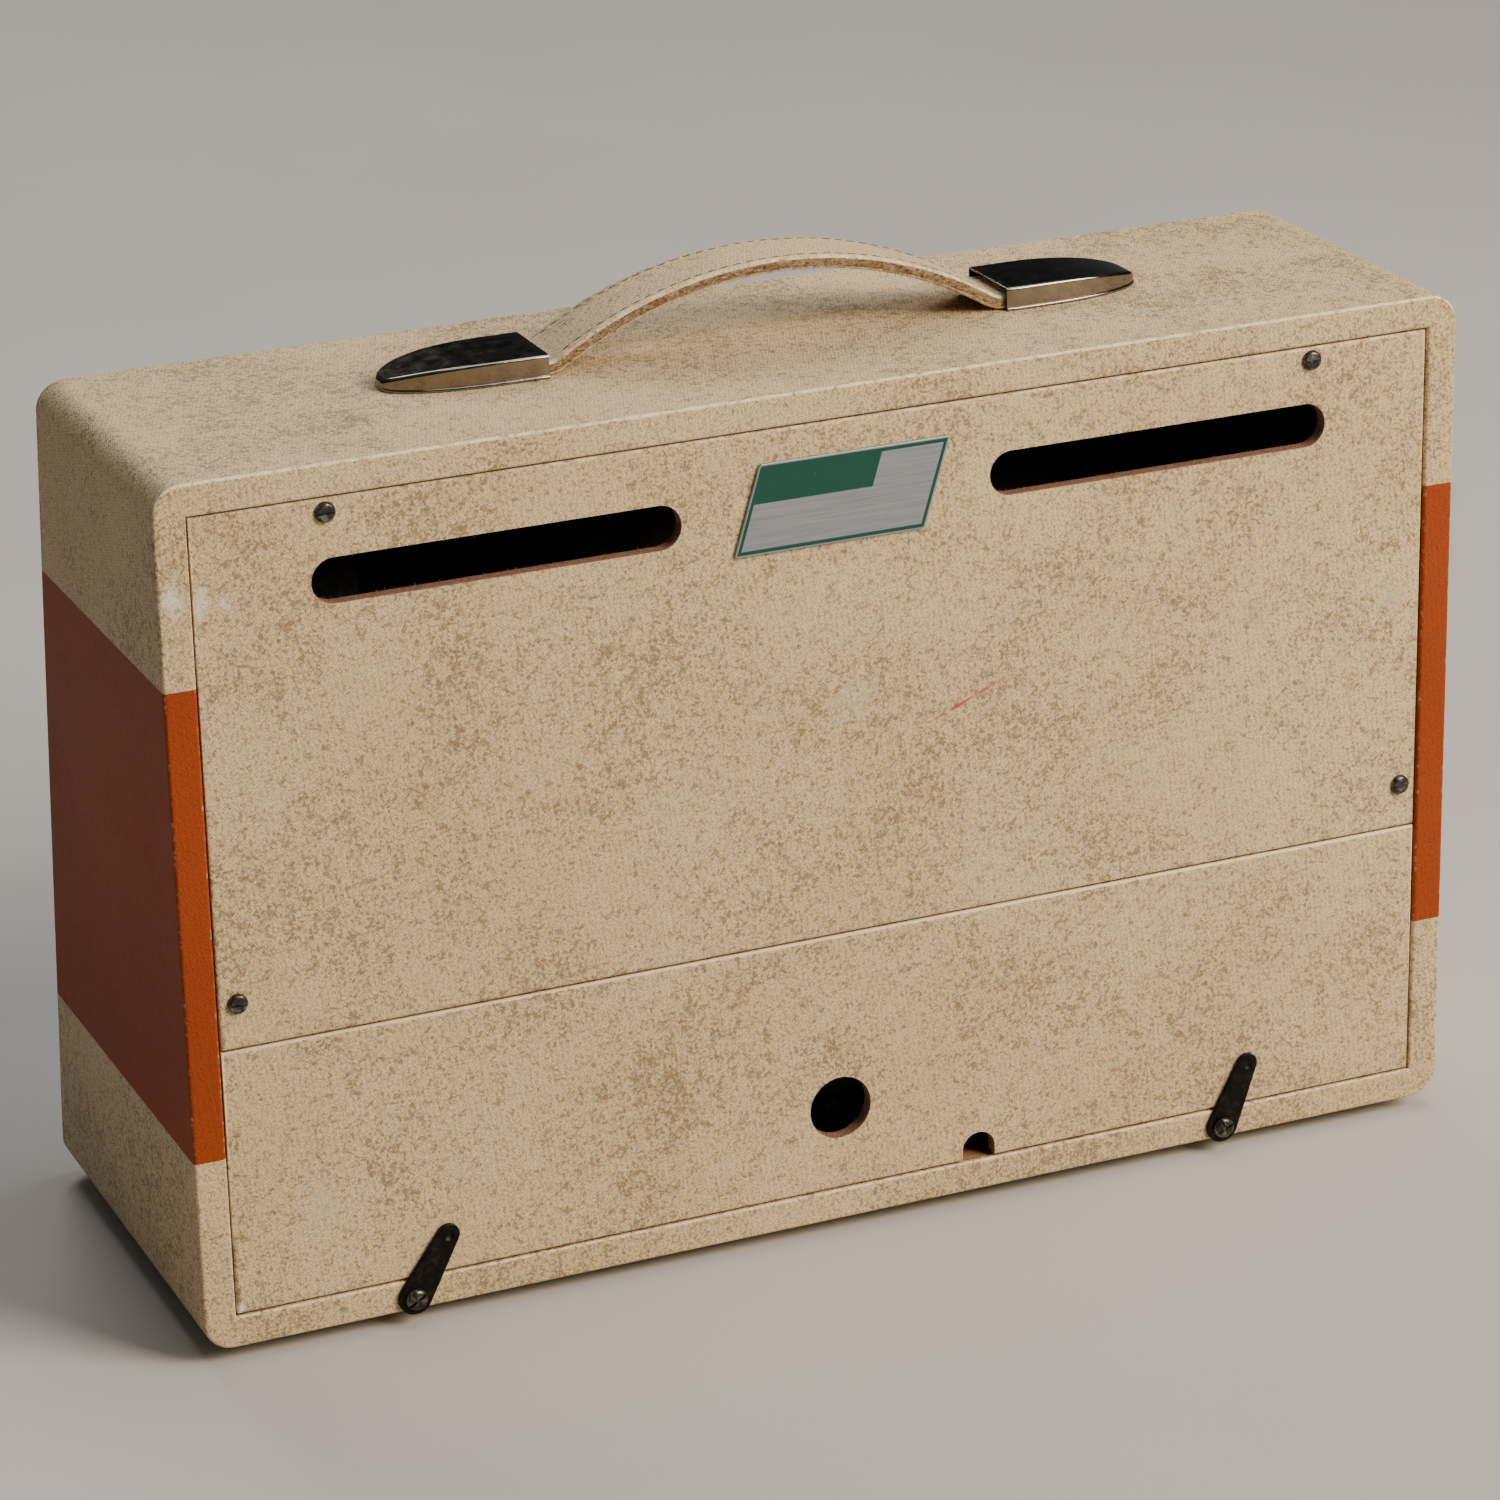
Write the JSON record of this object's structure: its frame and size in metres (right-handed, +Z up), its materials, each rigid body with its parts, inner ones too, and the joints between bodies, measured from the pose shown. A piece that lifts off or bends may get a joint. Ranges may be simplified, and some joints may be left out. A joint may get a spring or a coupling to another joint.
{
  "type": "guitar amplifier",
  "caption": "Portable valve guitar combo: raked two-tone cloth-covered case with loudspeakers, control panel, vented two-part back held by turn buttons, and a strap handle.",
  "frame": {"origin": "middle of the footprint, on the floor", "axes": "+Z up, +Y out of the back, -Y out of the front; left and right are as seen from the front, so left is -X"},
  "size_m": [0.508, 0.189, 0.365],
  "materials": {
    "plywood": "sawn and sanded plywood and softwood",
    "hardboard": "pressed board, rough at its cut edges",
    "plain_cloth": "beige leathercloth with a brown speckle",
    "band_cloth": "orange-brown leathercloth",
    "strap_cloth": "stitched leathercloth over a webbing core",
    "nickel": "polished nickel plate",
    "dark_steel": "blackened steel, worn",
    "zinc_steel": "zinc-plated steel",
    "aluminium_plate": "brushed aluminium",
    "rubber": "moulded rubber",
    "grille_fabric": "woven loudspeaker cloth",
    "beading": "moulded cream beading",
    "knob_plastic": "moulded dark brown phenolic",
    "jewel": "moulded red jewel",
    "valve_glass": "blown glass",
    "core_steel": "varnished steel laminations and winding",
    "board_laminate": "paper laminate board with its components",
    "frame_steel": "hammer-finish painted steel",
    "cone_paper": "pressed paper pulp",
    "copper_coil": "enamelled copper wire"
  },
  "bodies": {
    "case": {"case_side_left": "plywood", "case_side_right": "plywood", "case_top": "plywood", "case_bottom": "plywood", "rear_battens": "plywood", "mid_rail": "plywood", "glue_blocks": "plywood", "baffle_cleats": "plywood", "back_panel_upper": "hardboard", "back_panel_lower": "hardboard", "baffle": "hardboard", "cover_upper": "plain_cloth", "cover_lower": "plain_cloth", "back_cover_upper": "plain_cloth", "back_cover_lower": "plain_cloth", "cover_band_left": "band_cloth", "cover_band_right": "band_cloth", "handle_strap": "strap_cloth", "handle_cap_left": "nickel", "handle_cap_right": "nickel", "lamp_holder": "nickel", "toggle_switch": "nickel", "turn_button_screws": "dark_steel", "back_panel_screws": "dark_steel", "foot_screws": "dark_steel", "handle_bolts": "zinc_steel", "chassis": "zinc_steel", "chassis_bolts": "zinc_steel", "speaker_bolts": "zinc_steel", "potentiometers": "zinc_steel", "smoothing_capacitor": "zinc_steel", "blank_plate": "aluminium_plate", "control_panel": "aluminium_plate", "feet": "rubber", "grille_cloth": "grille_fabric", "grille_beading": "beading", "input_jacks": "knob_plastic", "valve_holders": "knob_plastic", "lamp_jewel": "jewel", "valves": "valve_glass", "mains_transformer": "core_steel", "output_transformer": "core_steel", "tag_board": "board_laminate", "speaker_frame_left": "frame_steel", "speaker_frame_right": "frame_steel", "speaker_magnet_left": "frame_steel", "speaker_magnet_right": "frame_steel", "speaker_surrounds": "cone_paper", "speaker_spiders": "cone_paper"},
    "turn_button_left": {"turn_button_left": "dark_steel"},
    "turn_button_right": {"turn_button_right": "dark_steel"},
    "knob_volume": {"knob_volume": "knob_plastic"},
    "knob_tone": {"knob_tone": "knob_plastic"},
    "knob_speed": {"knob_speed": "knob_plastic"},
    "knob_depth": {"knob_depth": "knob_plastic"},
    "toggle_lever": {"toggle_lever": "nickel"},
    "cone_left": {"speaker_cone_left": "cone_paper", "voice_coil_left": "copper_coil"},
    "cone_right": {"speaker_cone_right": "cone_paper", "voice_coil_right": "copper_coil"}
  },
  "joints": [
    {"name": "turn_button_left_pivot", "type": "hinge", "parent": "case", "child": "turn_button_left", "pos_m": [-0.1582, 0.09, 0.01135], "axis": [0, 1, 0], "range_deg": [-66, 113]},
    {"name": "turn_button_right_pivot", "type": "hinge", "parent": "case", "child": "turn_button_right", "pos_m": [0.1742, 0.09, 0.01135], "axis": [0, 1, 0], "range_deg": [-58, 121]},
    {"name": "knob_volume_turn", "type": "hinge", "parent": "case", "child": "knob_volume", "pos_m": [-0.1, -0.08465, 0.04766], "axis": [0, -0.9919, 0.1274], "range_deg": [-150, 150]},
    {"name": "knob_tone_turn", "type": "hinge", "parent": "case", "child": "knob_tone", "pos_m": [-0.042, -0.08465, 0.04766], "axis": [0, -0.9919, 0.1274], "range_deg": [-150, 150]},
    {"name": "knob_speed_turn", "type": "hinge", "parent": "case", "child": "knob_speed", "pos_m": [0.016, -0.08465, 0.04766], "axis": [0, -0.9919, 0.1274], "range_deg": [-150, 150]},
    {"name": "knob_depth_turn", "type": "hinge", "parent": "case", "child": "knob_depth", "pos_m": [0.074, -0.08465, 0.04766], "axis": [0, -0.9919, 0.1274], "range_deg": [-150, 150]},
    {"name": "toggle_tilt", "type": "hinge", "parent": "case", "child": "toggle_lever", "pos_m": [0.196, -0.07701, 0.04668], "axis": [1, 0, 0], "range_deg": [0, 24]},
    {"name": "cone_left_travel", "type": "slide", "parent": "case", "child": "cone_left", "axis": [0, -0.9919, 0.1274], "range_m": [-0.002, 0.002], "stiffness_N_per_m": 1500},
    {"name": "cone_right_travel", "type": "slide", "parent": "case", "child": "cone_right", "axis": [0, -0.9919, 0.1274], "range_m": [-0.002, 0.002], "stiffness_N_per_m": 1500}
  ]
}
